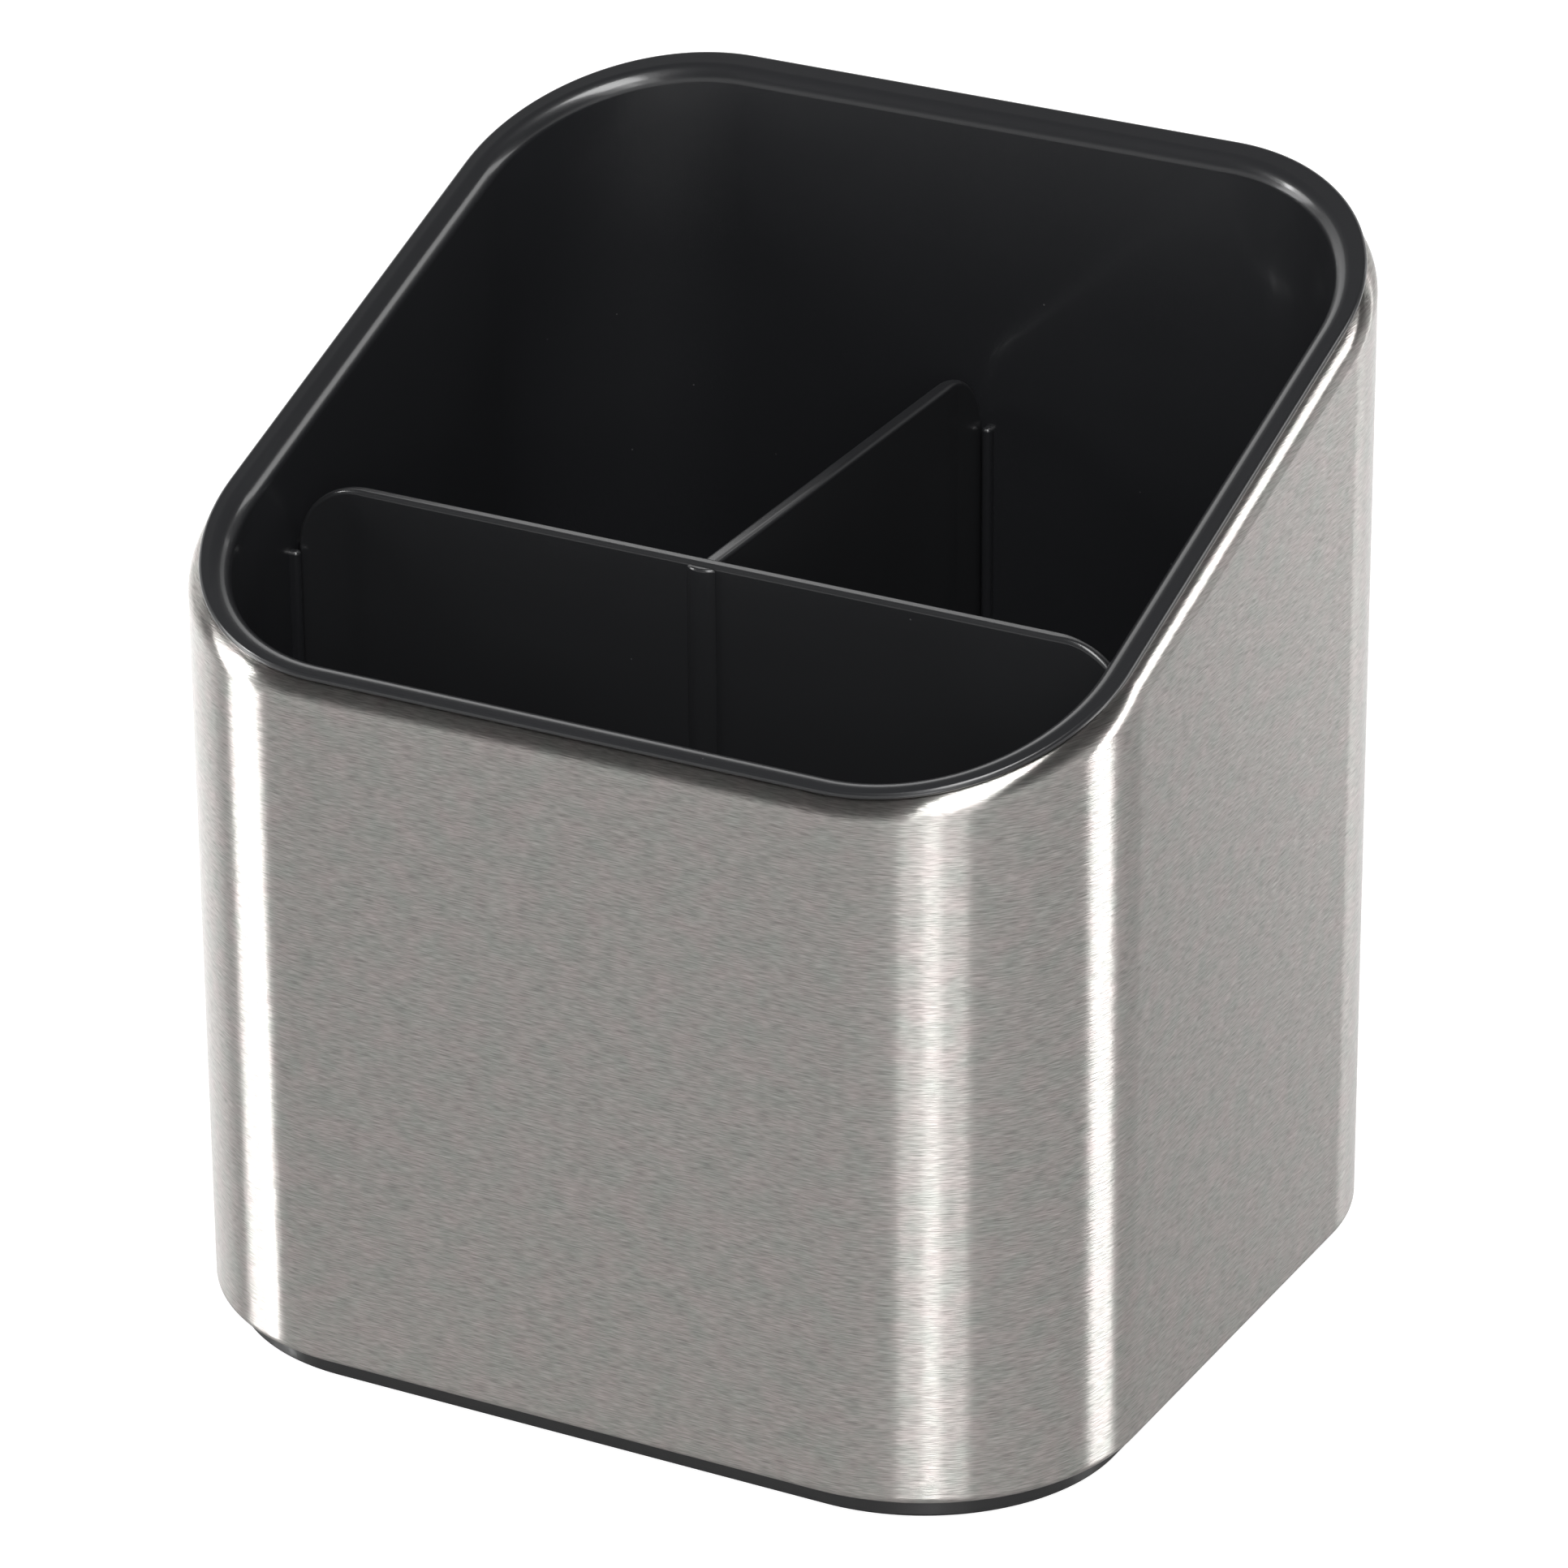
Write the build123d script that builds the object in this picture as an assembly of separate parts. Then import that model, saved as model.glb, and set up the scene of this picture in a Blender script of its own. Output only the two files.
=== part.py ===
"""Kitchen sink caddy: a steel sleeve on a base tray, with a hanging liner and two interlocking dividers."""
import math
import os

from build123d import *

# All lengths are in millimetres and angles in degrees. The ground is z = 0, the front faces -Y.

# Overall form: a rounded rectangle in plan, cut by one sloping plane, low at the front
width = 127.0
depth = 117.0
corner_radius = 29.0
front_height = 92.7
slope_angle = 20.2

# Outer sleeve, drawn from steel sheet
steel = 0.6
shoulder_radius = 3.0
shoulder_reach = 2.8
turn_under_radius = 1.2
turn_under_reach = 3.4

# Base tray: plinth, neck and collar, hollow on top and recessed below
plinth_height = 3.0
plinth_inset = 2.7
plinth_wall = 2.2
plinth_edge = 0.4
tray_wall = 1.8
tray_floor = 1.6
collar_height = 9.0
collar_edge = 0.8
panel_recess = 1.2
stiffener_width = 1.4
stiffener_height = 0.8

# Rubber feet
foot_stand = 0.8
foot_radius = 6.0
foot_edge = 0.4
foot_setback = 24.0
boss_wall = 1.4

# Liner: a pot that hangs by its rim
rim_inset = 1.4
rim_thickness = 0.9
rim_outer_radius = 0.4
rim_inner_radius = 2.4
liner_wall = 2.1
liner_floor = 2.0
liner_floor_radius = 6.0
drip_gap = 3.0

# Drain slots in the liner's floor
drain_width = 3.0
drain_length = 15.0
drain_pitch = 9.0
drain_row_pitch = 27.0
drain_margin = 14.0

# Dividers
cross_setback = 37.0
plate = 2.0
divider_height = 94.4
divider_corner = 9.5
plate_edge = 0.7
band_width = 8.5
band_step = 0.25
bridge = 12.0
bead_width = 3.9
bead_proud = 0.8
bead_edge = 0.4
partition_drop = 0.4

# Guide ribs on the liner's walls
rib_reach = 1.2
rib_width = 1.4
rib_edge = 0.5

# Clearances and the overrun of cuts
seat_gap = 0.1
tray_gap = 0.15
slide_gap = 0.15
foot_gap = 0.2
plate_gap = 0.3
neck_gap = 0.3
liner_gap = 0.5
overrun = 20.0

# Heights that follow
sleeve_low = foot_stand + plinth_height
panel_low = foot_stand + panel_recess
tray_floor_top = panel_low + tray_floor
neck_top = sleeve_low + steel + seat_gap
shelf_top = neck_top + tray_wall
tray_top = neck_top + collar_height
liner_low = shelf_top + drip_gap
floor_top = liner_low + liner_floor
divider_top = floor_top + divider_height
partition_top = divider_top - partition_drop
slot_top = divider_top - bridge
rib_top = divider_top - divider_corner
all_above = sleeve_low + front_height + depth + overrun

# Insets and half sizes that follow
neck_inset = turn_under_reach + neck_gap
collar_inset = steel + tray_gap
liner_inset = shoulder_reach + liner_gap
inner_inset = liner_inset + liner_wall
inner_half_width = width / 2 - inner_inset
inner_half_depth = depth / 2 - inner_inset
band = plate - 2 * band_step

# Places of the dividers
cross_front = cross_setback - depth / 2
cross_back = cross_front + plate
cross_middle = cross_front + plate / 2
cross_half_length = inner_half_width - plate_gap
partition_rear = inner_half_depth - plate_gap
bead_back = cross_front - slide_gap
bead_radius = (bead_width ** 2 / 4 + bead_proud ** 2) / (2 * bead_proud)


def slab(inset, low, high):
    """Upright block of the caddy's plan, drawn in by inset, between two heights."""
    plan = RectangleRounded(width - 2 * inset, depth - 2 * inset, corner_radius - inset)
    return extrude(Pos(0, 0, low) * plan, high - low)


def block(x0, x1, y0, y1, z0, z1):
    """Box between two corners."""
    middle = Pos((x0 + x1) / 2, (y0 + y1) / 2, (z0 + z1) / 2)
    return middle * Box(x1 - x0, y1 - y0, z1 - z0)


def slope_plane(rise):
    """The sleeve's sloping top plane, moved out along its normal by rise."""
    lean = math.radians(slope_angle)
    normal = Vector(0, -math.sin(lean), math.cos(lean))
    front_edge = Vector(0, -depth / 2, sleeve_low + front_height)
    return Plane(origin=front_edge + normal * rise, z_dir=normal)


def under_slope(solid, rise):
    """What of a solid lies under the sloping plane at rise."""
    return split(solid, bisect_by=slope_plane(rise), keep=Keep.BOTTOM)


def over_slope(solid, rise):
    """What of a solid lies over the sloping plane at rise."""
    return split(solid, bisect_by=slope_plane(rise), keep=Keep.TOP)


def slope_face(solid, rise):
    """The face of a solid that lies in the sloping plane at rise."""
    plane = slope_plane(rise)
    return min(solid.faces(), key=lambda face: abs(plane.to_local_coords(face.center()).Z))


def top_face(solid):
    """The face whose middle is highest."""
    return solid.faces().sort_by(Axis.Z)[-1]


def low_face(solid):
    """The face whose middle is lowest."""
    return solid.faces().sort_by(Axis.Z)[0]


def evenly(span, pitch):
    """Places at one pitch, centred on zero, as many as the span holds."""
    count = int(span / pitch) + 1
    return [(k - (count - 1) / 2) * pitch for k in range(count)]


def sleeve_body(inset):
    """Closed body of the sleeve's form, drawn in by inset, with its shoulder and its lower edge rounded."""
    body = under_slope(slab(inset, sleeve_low + inset, all_above), -inset)
    body = fillet(slope_face(body, -inset).edges(), shoulder_radius - inset)
    return fillet(low_face(body).edges(), turn_under_radius - inset)


def outer_sleeve():
    """Sheet that follows the sleeve's form, open at the top and the bottom inside its rolled edges."""
    sheet = sleeve_body(0) - sleeve_body(steel)
    middle = sleeve_low + front_height / 2
    sheet -= slab(shoulder_reach, middle, all_above)
    return sheet - slab(turn_under_reach, 0, middle)


def foot_places():
    """Centre of each foot, by its name."""
    x = width / 2 - foot_setback
    y = depth / 2 - foot_setback
    sides = {"front_left": (-x, -y), "front_right": (x, -y), "rear_left": (-x, y), "rear_right": (x, y)}
    return {"foot_" + name: place for name, place in sides.items()}


def disc(x, y, radius, low, high):
    """Upright cylinder between two heights."""
    return Pos(x, y, (low + high) / 2) * Cylinder(radius, high - low)


def foot(x, y):
    """Rubber pad that stands in its socket and reaches down to the ground."""
    pad = disc(x, y, foot_radius, 0, panel_low)
    return fillet(low_face(pad).edges(), foot_edge)


def stiffeners():
    """Ribs under the tray's floor, from foot to foot."""
    x = width / 2 - foot_setback
    y = depth / 2 - foot_setback
    half = stiffener_width / 2
    low = panel_low - stiffener_height
    ribs = []
    for side in (-1, 1):
        ribs.append(block(-x, x, side * y - half, side * y + half, low, panel_low))
        ribs.append(block(side * x - half, side * x + half, -y, y, low, panel_low))
    return ribs


def base_tray():
    """Plinth under the sleeve, a neck that its turned-under edge grips, and a collar inside it."""
    plinth = slab(plinth_inset, foot_stand, sleeve_low)
    plinth = fillet(low_face(plinth).edges(), plinth_edge)
    collar = slab(collar_inset, neck_top, tray_top)
    collar = fillet(low_face(collar).edges(), collar_edge)
    tray = plinth + slab(neck_inset, sleeve_low, neck_top) + collar
    tray -= slab(neck_inset + tray_wall, tray_floor_top, tray_top + overrun)
    tray -= slab(collar_inset + tray_wall, shelf_top, tray_top + overrun)
    tray -= slab(plinth_inset + plinth_wall, foot_stand - overrun, panel_low)
    for rib in stiffeners():
        tray += rib
    for x, y in foot_places().values():
        tray += disc(x, y, foot_radius + foot_gap + boss_wall, foot_stand, panel_low)
        tray -= disc(x, y, foot_radius + foot_gap, foot_stand - overrun, panel_low)
    return tray


def guide_rib(x, y, along_x):
    """Upright rib on a liner wall; its middle line stands at x, y and it reaches along X or along Y."""
    half_x = rib_reach if along_x else rib_width / 2
    half_y = rib_width / 2 if along_x else rib_reach
    rib = block(x - half_x, x + half_x, y - half_y, y + half_y, liner_low + liner_floor / 2, rib_top)
    return fillet(top_face(rib).edges(), rib_edge)


def guide_ribs():
    """Rib pairs that hold the cross wall's two ends and the rear partition's rear edge."""
    beside = band / 2 + slide_gap + rib_width / 2
    ribs = []
    for step in (-beside, beside):
        for side in (-1, 1):
            ribs.append(guide_rib(side * inner_half_width, cross_middle + step, True))
        ribs.append(guide_rib(step, inner_half_depth, False))
    return ribs


def drain_places():
    """Centre of each drain slot: one row in the front compartment, two columns of rows behind."""
    front_y = (cross_front - inner_half_depth) / 2
    rear_y = (cross_back + inner_half_depth) / 2
    rear_x = inner_half_width / 2
    front_span = 2 * (inner_half_width - drain_margin)
    places = [(x, front_y) for x in evenly(front_span, drain_pitch)]
    rear_span = inner_half_width - 2 * drain_margin
    depth_span = inner_half_depth - cross_back - 2 * drain_margin
    for side in (-1, 1):
        for dx in evenly(rear_span, drain_pitch):
            places += [(side * rear_x + dx, rear_y + dy) for dy in evenly(depth_span, drain_row_pitch)]
    return places


def drain_slots():
    """Round-ended slots right through the liner's floor."""
    slot = Rot(0, 0, 90) * SlotOverall(drain_length, drain_width)
    low = liner_low - overrun
    length = liner_floor + 2 * overrun
    return [extrude(Pos(x, y, low) * slot, length) for x, y in drain_places()]


def liner():
    """Pot with a rounded rim that lies on the sleeve's shoulder, guide ribs and a drained floor."""
    pot = slab(liner_inset, liner_low, all_above)
    pot = fillet(low_face(pot).edges(), liner_floor_radius + liner_wall)
    pot = pot + over_slope(slab(rim_inset, sleeve_low, all_above), 0)
    pot = under_slope(pot, rim_thickness)
    room = slab(inner_inset, floor_top, all_above)
    room = fillet(low_face(room).edges(), liner_floor_radius)
    pot -= room
    pot = fillet(slope_face(pot, rim_thickness).inner_wires()[0].edges(), rim_inner_radius)
    pot = fillet(slope_face(pot, rim_thickness).outer_wire().edges(), rim_outer_radius)
    envelope = slab(liner_inset + liner_wall / 2, liner_low + liner_floor / 2, rib_top)
    for rib in guide_ribs():
        pot += rib & envelope
    for slot in drain_slots():
        pot -= slot
    return pot


def round_corner(outline, x, y, radius):
    """The outline with its corner at x, y rounded."""
    corner = min(outline.vertices(), key=lambda vertex: (Vector(vertex) - Vector(x, y)).length)
    return fillet(corner, radius)


def plate_outline(x0, x1, low, high, rounded_ends):
    """Upright rectangle, its upper and lower corners rounded at each of the named ends."""
    outline = Pos((x0 + x1) / 2, (low + high) / 2) * Rectangle(x1 - x0, high - low)
    for x in rounded_ends:
        outline = round_corner(outline, x, high, divider_corner)
        outline = round_corner(outline, x, low, liner_floor_radius)
    return outline


def rounded_plate(plane, outline, thickness):
    """Plate of one thickness, centred on its plane, with a softened edge all round."""
    sheet = extrude(plane * outline, thickness / 2, both=True)
    faces = sheet.faces().sort_by(Axis(plane.origin, plane.z_dir))
    return fillet(faces[0].edges() + faces[-1].edges(), plate_edge - band_step)


def cross_wall():
    """Divider from left to right, thinner at its ends, with a slot from below for the rear partition."""
    plane = Plane(origin=(0, cross_middle, 0), x_dir=(1, 0, 0), z_dir=(0, -1, 0))
    ends = (-cross_half_length, cross_half_length)
    outline = plate_outline(*ends, floor_top, divider_top, ends)
    wall = rounded_plate(plane, outline, band)
    middle = cross_half_length - band_width
    core = block(-middle, middle, cross_front, cross_back, floor_top, divider_top)
    core = fillet(top_face(core).edges().filter_by(Axis.X), plate_edge)
    wall += core
    half = plate / 2 + slide_gap
    return wall - block(-half, half, cross_front - plate, cross_back + plate, floor_top - plate, slot_top)


def bead():
    """Upright strip with an arched front, the head of the rear partition's tongue."""
    strip = Pos(0, bead_back - bead_proud + bead_radius, floor_top) * Circle(bead_radius)
    strip = extrude(strip, partition_top - floor_top)
    half = bead_width
    strip = strip & block(-half, half, bead_back - bead_width, bead_back, floor_top, partition_top)
    return fillet(top_face(strip).edges().sort_by(Axis.Y)[0], bead_edge)


def rear_partition():
    """Divider from the cross wall to the back wall; its tongue fills the slot and ends in a bead."""
    outline = plate_outline(cross_middle, partition_rear, floor_top, partition_top, (partition_rear,))
    wall = rounded_plate(Plane.YZ, outline, band)
    half = plate / 2
    tongue = bead_back - bead_proud / 2
    core = block(-half, half, tongue, partition_rear - band_width, floor_top, partition_top)
    core = fillet(top_face(core).edges().filter_by(Axis.Y), plate_edge)
    notch_low = slot_top - plate_gap
    notch = block(-plate, plate, bead_back, cross_back + slide_gap, notch_low, partition_top + plate)
    return wall + core - notch + bead()


def build():
    """Every piece by its name."""
    pieces = {
        "outer_sleeve": outer_sleeve(),
        "base_tray": base_tray(),
        "liner": liner(),
        "cross_wall": cross_wall(),
        "rear_partition": rear_partition(),
    }
    for name, (x, y) in foot_places().items():
        pieces[name] = foot(x, y)
    return pieces


os.makedirs("parts", exist_ok=True)
for piece_name, piece in build().items():
    export_step(piece, os.path.join("parts", piece_name + ".step"))
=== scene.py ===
"""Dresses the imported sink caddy: brushed sleeve, liner, dividers, drip tray and rubber feet."""
import logging
import math
from dataclasses import dataclass
from enum import Enum

import bmesh
import bpy
import numpy as np
from mathutils import Matrix


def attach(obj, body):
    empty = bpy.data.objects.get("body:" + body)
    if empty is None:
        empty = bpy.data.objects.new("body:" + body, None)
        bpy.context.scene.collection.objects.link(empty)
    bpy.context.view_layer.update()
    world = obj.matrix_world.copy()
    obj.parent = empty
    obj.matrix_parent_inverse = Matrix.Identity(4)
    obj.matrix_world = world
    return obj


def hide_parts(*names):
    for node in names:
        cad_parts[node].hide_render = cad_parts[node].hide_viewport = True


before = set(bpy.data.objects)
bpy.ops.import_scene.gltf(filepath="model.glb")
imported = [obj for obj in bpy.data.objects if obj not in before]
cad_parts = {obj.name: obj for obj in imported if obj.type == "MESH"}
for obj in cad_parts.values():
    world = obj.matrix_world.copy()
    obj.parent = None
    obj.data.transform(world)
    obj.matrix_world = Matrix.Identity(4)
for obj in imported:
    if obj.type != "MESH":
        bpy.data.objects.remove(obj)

LOG = logging.getLogger("sink_caddy")
MM = 0.001
WELD = 1e-7
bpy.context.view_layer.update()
CHART = "surface"
WHITE = (1.0, 1.0, 1.0, 1.0)
CAP_LAND = 0.05 * MM

Place = tuple[float, float]
Colour = tuple[float, float, float]
Vector = tuple[float, float, float] | np.ndarray
Rows = tuple[np.ndarray, np.ndarray]
Socket = bpy.types.NodeSocket


class Facing(Enum):
    """Ways that a stretch of a profile can face."""

    OUT = "out"
    IN = "in"
    UP = "up"
    DOWN = "down"


OUT, INTO, UP, DOWN = Facing


def level(plan: np.ndarray, height: float) -> np.ndarray:
    """Points of a plan with one height added to each."""
    return np.column_stack([plan, np.full(len(plan), height)])


@dataclass(frozen=True)
class Datum:
    """Plane that a profile's heights start from: level, or leaning back with the caddy's top."""

    lean: float = 0.0
    pivot_y: float = 0.0
    pivot_z: float = 0.0

    @property
    def normal(self) -> np.ndarray:
        """Upward unit normal of the plane."""
        return np.array([0.0, -math.sin(self.lean), math.cos(self.lean)])

    def height(self, plan: np.ndarray, rise: float) -> np.ndarray:
        """Heights over plan points of the plane, raised by rise along its normal.

        The pivot's height, plus the slope times the way back, plus rise over the lean's cosine.
        """
        run = plan[..., 1] - self.pivot_y
        return self.pivot_z + math.tan(self.lean) * run + rise / math.cos(self.lean)


GROUND = Datum()


@dataclass(frozen=True)
class Outline:
    """Closed rounded rectangle in plan, walked anticlockwise; its last station is its first."""

    core: np.ndarray
    normal: np.ndarray
    radius: float

    @classmethod
    def rounded(cls, half_x: float, half_y: float, radius: float, centre: Place = (0.0, 0.0),
                corner_steps: int = 12, side_steps: int = 2) -> "Outline":
        """Rounded rectangle that starts in the middle of its back.

        Each point is a core point plus the radius times a unit normal: round a corner the core
        stands still while the normal turns, and along a side the normal does while the core moves.

        Args:
            half_x: Half the size along X.
            half_y: Half the size along Y.
            radius: Radius of the corners.
            centre: Middle of the rectangle.
            corner_steps: Segments round each corner.
            side_steps: Segments along each side, an even number.

        Returns:
            The outline, with stations that coincide taken out.
        """
        corners = np.array([[-1, 1], [-1, -1], [1, -1], [1, 1]])
        corners = corners * [half_x - radius, half_y - radius]
        cores, normals = [], []
        share = np.linspace(0.0, 1.0, side_steps + 1)[1:-1, None]
        for k, start in enumerate((0.5, 1.0, 1.5, 2.0)):
            angle = math.pi * (start + np.linspace(0.0, 0.5, corner_steps + 1))
            turn = np.stack([np.cos(angle), np.sin(angle)], axis=1)
            cores += [np.repeat(corners[k:k + 1], corner_steps + 1, axis=0)]
            cores += [corners[k] + share * (corners[(k + 1) % 4] - corners[k])]
            normals += [turn, np.repeat(turn[-1:], side_steps - 1, axis=0)]
        stations = np.hstack([np.vstack(cores) + centre, np.vstack(normals)])
        stations = np.roll(stations, side_steps // 2, axis=0)
        stations = np.vstack([stations, stations[:1]])
        moved = np.any(np.abs(np.diff(stations, axis=0)) > WELD, axis=1)
        stations = stations[np.append(True, moved)]
        return cls(stations[:, :2], stations[:, 2:], radius)

    def ring(self, inset: float) -> np.ndarray:
        """Plan points of the outline drawn in by inset: core plus what is left of the radius."""
        return self.core + (self.radius - inset) * self.normal

    @property
    def outward(self) -> np.ndarray:
        """Unit normals as vectors in space."""
        return np.pad(self.normal, ((0, 0), (0, 1)))

    @property
    def along(self) -> np.ndarray:
        """Distance walked along the outline at each station."""
        steps = np.linalg.norm(np.diff(self.ring(0.0), axis=0), axis=1)
        return np.append(0.0, np.cumsum(steps))


@dataclass(frozen=True)
class Bend:
    """Place where two stretches of a profile meet, and how round it is.

    A radius of zero is a sharp corner, and the same facing twice is a plain end of the profile. A
    hollow bend curves inwards, as a floor does where it meets a wall.
    """

    datum: Datum
    inset: float
    rise: float
    first: Facing
    second: Facing
    radius: float = 0.0
    hollow: bool = False
    steps: int = 8
    reach: float = math.pi

    def direction(self, facing: Facing, outline: Outline) -> np.ndarray:
        """Unit vectors, one for each station, for one way of facing."""
        up = np.broadcast_to(self.datum.normal, outline.outward.shape)
        return {OUT: outline.outward, INTO: -outline.outward, UP: up, DOWN: -up}[facing]

    def rows(self, outline: Outline) -> Rows:
        """Rows of points and normals round the bend, for every station of an outline.

        A ball of the bend's radius rolls between the two stretches. Its centre lies one radius from
        each, and the surface point is the centre plus or minus the radius times a unit vector that
        turns evenly from the first normal to the second.

        Args:
            outline: The outline that the profile is carried along.

        Returns:
            Points and normals, each of shape (rows, stations, 3).
        """
        if self.first is self.second:
            plan = outline.ring(self.inset)
            points = np.column_stack([plan, self.datum.height(plan, self.rise)])
            return points[None], self.direction(self.first, outline)[None]
        side = -1.0 if self.hollow else 1.0
        out = 1.0 if OUT in (self.first, self.second) else -1.0
        up = 1.0 if UP in (self.first, self.second) else -1.0
        plan = outline.ring(self.inset + side * out * self.radius)
        height = self.datum.height(plan, self.rise - side * up * self.radius)
        centre = np.column_stack([plan, height])
        first, second = (self.direction(facing, outline) for facing in (self.first, self.second))
        full = np.arccos(np.clip(np.sum(first * second, axis=1), -1.0, 1.0))[:, None]
        steps = self.steps if self.radius else 1
        turned = np.linspace(0.0, 1.0, steps + 1)[:, None, None] * np.minimum(full, self.reach)
        turning = (np.sin(full - turned) * first + np.sin(turned) * second) / np.sin(full)
        return centre + side * self.radius * turning, turning


class Skin:
    """Patches of surface that are welded into one mesh, with the exact normal of each kept."""

    def __init__(self) -> None:
        """Starts with no patches."""
        self.points: list[np.ndarray] = []
        self.normals: list[np.ndarray] = []
        self.charts: list[np.ndarray] = []
        self.faces: list[np.ndarray] = []
        self.count = 0

    def _keep(self, points: np.ndarray, normals: Vector, chart: np.ndarray | None) -> int:
        """Stores vertices.

        Args:
            points: The points, 3 numbers each.
            normals: Their normals, or one that they share.
            chart: Their places on the surface's own map; without it, their places in plan.

        Returns:
            The index of the first vertex.
        """
        start = self.count
        self.points.append(points.reshape(-1, 3))
        self.normals.append(np.broadcast_to(normals, points.shape).reshape(-1, 3))
        self.charts.append(self.points[-1][:, :2] if chart is None else chart.reshape(-1, 2))
        self.count += len(self.points[-1])
        return start

    def grid(self, points: np.ndarray, normals: np.ndarray, chart: np.ndarray | None = None,
             skip: tuple[int, ...] = ()) -> None:
        """Adds a grid of quads that faces along its columns' direction crossed with its rows'.

        Args:
            points: Points, shape (rows, columns, 3).
            normals: Their normals, of the same shape or one that stretches to it.
            chart: Their places on the surface's own map, shape (rows, columns, 2).
            skip: Columns of quads that are left open.
        """
        rows, columns = points.shape[:2]
        index = np.arange(rows * columns).reshape(rows, columns)
        index = index + self._keep(points, normals, chart)
        quads = np.stack([index[:-1, :-1], index[:-1, 1:], index[1:, 1:], index[1:, :-1]], axis=2)
        self.faces.append(np.delete(quads, list(skip), axis=1).reshape(-1, 4))

    def strip(self, outline: Outline, rows: list[Rows], inwards: bool = False) -> np.ndarray:
        """Adds rows of a profile along an outline, with lengths along both as its map.

        Args:
            outline: The outline, walked anticlockwise.
            rows: Points and normals of each bend, in an order that has the material on their left.
            inwards: Turns the strip's face round.

        Returns:
            Its first and last row of points.
        """
        points, normals = (np.concatenate(part) for part in zip(*rows))
        climbed = np.cumsum(np.linalg.norm(np.diff(points, axis=0), axis=2), axis=0)
        climbed = np.concatenate([np.zeros_like(climbed[:1]), climbed])
        chart = np.stack([np.broadcast_to(outline.along, climbed.shape), climbed], axis=2)
        if inwards:
            self.grid(points[::-1], -normals[::-1], chart[::-1])
        else:
            self.grid(points, normals, chart)
        return points[[0, -1]]

    def sweep(self, outline: Outline, bends: list[Bend]) -> None:
        """Adds a profile carried along an outline, given as its bends in order."""
        self.strip(outline, [bend.rows(outline) for bend in bends])

    def polygon(self, points: np.ndarray, normal: Vector) -> None:
        """Adds one flat face.

        Args:
            points: Its corners in order, shape (n, 3).
            normal: Its unit normal. The corners are turned round if they run the other way.
        """
        wound = np.cross(points, np.roll(points, -1, axis=0)).sum(axis=0) @ np.array(normal)
        points = points if wound > 0 else points[::-1]
        self.faces.append(self._keep(points, normal, None) + np.arange(len(points))[None])

    def cap(self, outline: Outline, inset: float, height: float, facing: float) -> None:
        """Closes an outline with a level face that looks up for a facing of 1 and down for -1."""
        self.polygon(level(outline.ring(inset)[:-1], height), (0.0, 0.0, facing))

    def plain(self, loops: list[np.ndarray], height: float, facing: float) -> None:
        """Adds a level face with holes, as triangles.

        Args:
            loops: Closed loops in plan, the outer one first; their last point isn't repeated.
            height: Height of the face.
            facing: 1 for a face that looks up, -1 for one that looks down.
        """
        plan = np.concatenate(loops)
        starts = np.cumsum([0] + [len(loop) for loop in loops[:-1]])
        edges = [np.column_stack([np.arange(len(loop)), np.roll(np.arange(len(loop)), -1)]) + start
                 for loop, start in zip(loops, starts)]
        points = level(plan, height)
        scratch = bpy.data.meshes.new("scratch")
        scratch.from_pydata(points.tolist(), np.concatenate(edges).tolist(), [])
        work = bmesh.new()
        work.from_mesh(scratch)
        bmesh.ops.triangle_fill(work, use_beauty=True, edges=work.edges, normal=(0.0, 0.0, 1.0))
        work.to_mesh(scratch)
        work.free()
        corners = np.empty(len(scratch.loops), np.int32)
        scratch.loops.foreach_get("vertex_index", corners)
        bpy.data.meshes.remove(scratch)
        triangles = corners.reshape(-1, 3)
        a, b, c = (plan[triangles[:, k]] for k in range(3))
        area = (b - a)[:, 0] * (c - a)[:, 1] - (b - a)[:, 1] * (c - a)[:, 0]
        triangles = np.where((area * facing > 0)[:, None], triangles, triangles[:, ::-1])
        self.faces.append(self._keep(points, (0.0, 0.0, facing), None) + triangles)

    def _welded(self, where: np.ndarray) -> list[np.ndarray]:
        """Takes out corners that coincide.

        Args:
            where: Welded vertex of each vertex.

        Returns:
            The faces: quads that shrink to a triangle become one, and slivers go.
        """
        sound = []
        for faces in self.faces:
            corners = where[faces]
            twice = corners == np.roll(corners, -1, axis=1)
            times = twice.sum(axis=1)
            sound.append(faces[times == 0])
            if faces.shape[1] == 4:
                sound += [np.delete(faces[(times == 1) & twice[:, k]], k, axis=1) for k in range(4)]
        return [faces for faces in sound if len(faces)]

    def build(self, name: str) -> bpy.types.Object:
        """Welds the patches and makes the object, with its place in its mesh.

        Args:
            name: The object's name.

        Returns:
            The new object, linked to the scene.
        """
        points = np.concatenate(self.points)
        kept, first, where = np.unique(np.round(points / WELD).astype(np.int64), axis=0,
                                       return_index=True, return_inverse=True)
        where = where.reshape(-1)
        faces = self._welded(where)
        corners = np.concatenate([group.reshape(-1) for group in faces])
        mesh = bpy.data.meshes.new(name)
        polygons = [polygon for group in faces for polygon in where[group].tolist()]
        mesh.from_pydata(points[first].tolist(), [], polygons)
        chart = np.concatenate(self.charts)[corners].astype(np.float32)
        mesh.uv_layers.new(name=CHART).data.foreach_set("uv", chart.reshape(-1))
        mesh.polygons.foreach_set("use_smooth", np.ones(len(mesh.polygons), bool))
        mesh.normals_split_custom_set(np.concatenate(self.normals)[corners].tolist())
        mesh.update()
        piece = bpy.data.objects.new(name, mesh)
        bpy.context.scene.collection.objects.link(piece)
        LOG.info("%s: %d vertices, %d faces", name, len(kept), len(mesh.polygons))
        return piece


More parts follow.
